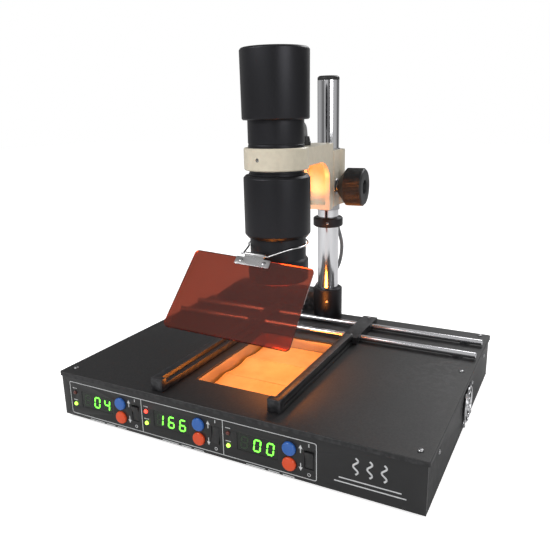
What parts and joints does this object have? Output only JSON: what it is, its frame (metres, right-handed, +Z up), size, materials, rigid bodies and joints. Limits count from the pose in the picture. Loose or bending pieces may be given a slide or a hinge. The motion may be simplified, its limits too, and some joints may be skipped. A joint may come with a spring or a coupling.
{
  "type": "infrared rework station",
  "caption": "Bench rework station: lamp on a focusing arm and column over a ventilated control base with preheater, sliding board holder and tinted eye shield",
  "frame": {"origin": "on the surface it stands on, under the middle of its bounding box", "axes": "+Z up, +X to the right of someone facing the control panel, the panel faces -Y"},
  "size_m": [0.4862, 0.3922, 0.4572],
  "materials": {
    "black_paint": "satin",
    "panel_black": "satin",
    "black_anodised": "satin",
    "cream_paint": "satin",
    "polished_steel": "polished",
    "stainless": "satin",
    "black_plastic": "matte",
    "foot_rubber": "matte",
    "ceramic": "matte",
    "circuit_board": "satin",
    "transformer_core": "satin",
    "tinted_shield": "gloss",
    "clear_glass": "gloss",
    "grey_lead": "satin",
    "button_blue": "gloss",
    "button_orange": "gloss"
  },
  "bodies": {
    "root": {"base_tray": "black_paint", "front_panel": "panel_black", "lid": "black_paint", "heater_well": "stainless", "heater_emitter_1": "ceramic", "heater_emitter_2": "ceramic", "heater_emitter_3": "ceramic", "control_board": "circuit_board", "display_board": "circuit_board", "transformer": "transformer_core", "fan_housing": "black_plastic", "fan_guard": "polished_steel", "mains_inlet": "black_plastic", "iron_socket": "stainless", "rear_box": "black_paint", "column_socket": "black_anodised", "column": "polished_steel", "column_cap": "black_plastic", "front_rail": "polished_steel", "rear_rail": "polished_steel", "foot_1": "foot_rubber", "foot_2": "foot_rubber", "foot_3": "foot_rubber", "foot_4": "foot_rubber", "lamp_lead_drop": "grey_lead"},
    "fan_rotor": {"fan_rotor": "black_plastic"},
    "stop_collar": {"stop_collar": "black_anodised"},
    "arm_sleeve": {"arm_sleeve": "stainless"},
    "column_block": {"column_block": "cream_paint"},
    "clamp_knob": {"arm_clamp_knob": "black_plastic"},
    "focus_knobs": {"pinion_shaft": "polished_steel", "right_focus_knob": "black_plastic", "left_focus_knob": "black_plastic"},
    "lamp_carrier": {"lamp_carrier": "cream_paint", "focus_rack": "stainless", "lamp_gland": "black_plastic", "lamp_cap": "black_anodised", "lamp_barrel": "black_anodised", "lamp_body": "black_anodised", "lamp_nozzle": "black_anodised", "lamp_lens": "clear_glass", "lamp_reflector": "polished_steel", "lamp_bulb": "clear_glass", "lamp_lead_top": "grey_lead"},
    "shield_hanger": {"shield_wire": "polished_steel"},
    "shield": {"shield_clip": "stainless", "shield_plate": "tinted_shield"},
    "left_holder": {"left_slider": "black_anodised", "left_holder_arm": "black_anodised"},
    "right_holder": {"right_slider": "black_anodised", "right_holder_arm": "black_anodised"},
    "up_button_1": {"up_button_1": "button_blue"},
    "down_button_1": {"down_button_1": "button_orange"},
    "rocker_1": {"rocker_1": "black_plastic"},
    "up_button_2": {"up_button_2": "button_blue"},
    "down_button_2": {"down_button_2": "button_orange"},
    "rocker_2": {"rocker_2": "black_plastic"},
    "up_button_3": {"up_button_3": "button_blue"},
    "down_button_3": {"down_button_3": "button_orange"},
    "rocker_3": {"rocker_3": "black_plastic"}
  },
  "joints": [
    {"name": "fan_spin", "type": "hinge", "parent": "root", "child": "fan_rotor", "pos_m": [0.2274, 0.0008, 0.0345], "axis": [1, 0, 0], "continuous": true},
    {"name": "collar_slide", "type": "slide", "parent": "root", "child": "stop_collar", "axis": [0, 0, 1], "range_m": [-0.095, 0]},
    {"name": "arm_height", "type": "slide", "parent": "root", "child": "arm_sleeve", "axis": [0, 0, 1], "range_m": [-0.011, 0.095], "deforming": ["lamp_lead_drop"]},
    {"name": "arm_swivel", "type": "hinge", "parent": "arm_sleeve", "child": "column_block", "pos_m": [-0.0062, 0.1453, 0.295], "axis": [0, 0, 1], "range_deg": [-60, 60]},
    {"name": "arm_clamp_turn", "type": "hinge", "parent": "column_block", "child": "clamp_knob", "pos_m": [-0.00861, 0.1752, 0.305], "axis": [-0.0802, 0.9968, 0], "range_deg": [-180, 0]},
    {"name": "focus_slide", "type": "slide", "parent": "column_block", "child": "lamp_carrier", "axis": [0, 0, 1], "range_m": [-0.018, 0.018]},
    {"name": "focus_knob_turn", "type": "hinge", "parent": "column_block", "child": "focus_knobs", "pos_m": [-0.00419, 0.12033, 0.279], "axis": [0.9968, 0.0802, 0], "range_deg": [-216, 216]},
    {"name": "shield_swing", "type": "hinge", "parent": "lamp_carrier", "child": "shield_hanger", "pos_m": [0.00976, -0.05306, 0.229], "axis": [0, 0, 1], "range_deg": [-50, 50]},
    {"name": "shield_tilt", "type": "hinge", "parent": "shield_hanger", "child": "shield", "pos_m": [0.0025, -0.0987, 0.2228], "axis": [0.9831, 0.1531, -0.1], "range_deg": [-40, 40]},
    {"name": "left_holder_slide", "type": "slide", "parent": "root", "child": "left_holder", "axis": [1, 0, 0], "range_m": [-0.105, 0.045]},
    {"name": "right_holder_slide", "type": "slide", "parent": "root", "child": "right_holder", "axis": [1, 0, 0], "range_m": [-0.034, 0.125]},
    {"name": "up_button_1_press", "type": "slide", "parent": "root", "child": "up_button_1", "axis": [0, 1, 0], "range_m": [0, 0.0012], "stiffness_N_per_m": 300},
    {"name": "down_button_1_press", "type": "slide", "parent": "root", "child": "down_button_1", "axis": [0, 1, 0], "range_m": [0, 0.0012], "stiffness_N_per_m": 300},
    {"name": "rocker_1_rock", "type": "hinge", "parent": "root", "child": "rocker_1", "pos_m": [-0.1196, -0.1908, 0.032], "axis": [1, 0, 0], "range_deg": [-14, 0]},
    {"name": "up_button_2_press", "type": "slide", "parent": "root", "child": "up_button_2", "axis": [0, 1, 0], "range_m": [0, 0.0012], "stiffness_N_per_m": 300},
    {"name": "down_button_2_press", "type": "slide", "parent": "root", "child": "down_button_2", "axis": [0, 1, 0], "range_m": [0, 0.0012], "stiffness_N_per_m": 300},
    {"name": "rocker_2_rock", "type": "hinge", "parent": "root", "child": "rocker_2", "pos_m": [-0.0025, -0.1908, 0.032], "axis": [1, 0, 0], "range_deg": [0, 14]},
    {"name": "up_button_3_press", "type": "slide", "parent": "root", "child": "up_button_3", "axis": [0, 1, 0], "range_m": [0, 0.0012], "stiffness_N_per_m": 300},
    {"name": "down_button_3_press", "type": "slide", "parent": "root", "child": "down_button_3", "axis": [0, 1, 0], "range_m": [0, 0.0012], "stiffness_N_per_m": 300},
    {"name": "rocker_3_rock", "type": "hinge", "parent": "root", "child": "rocker_3", "pos_m": [0.1146, -0.1908, 0.032], "axis": [1, 0, 0], "range_deg": [-14, 0]}
  ],
  "couplings": [
    {"joint": "focus_knob_turn", "follows": "focus_slide", "rad_per_m": -208.33}
  ]
}
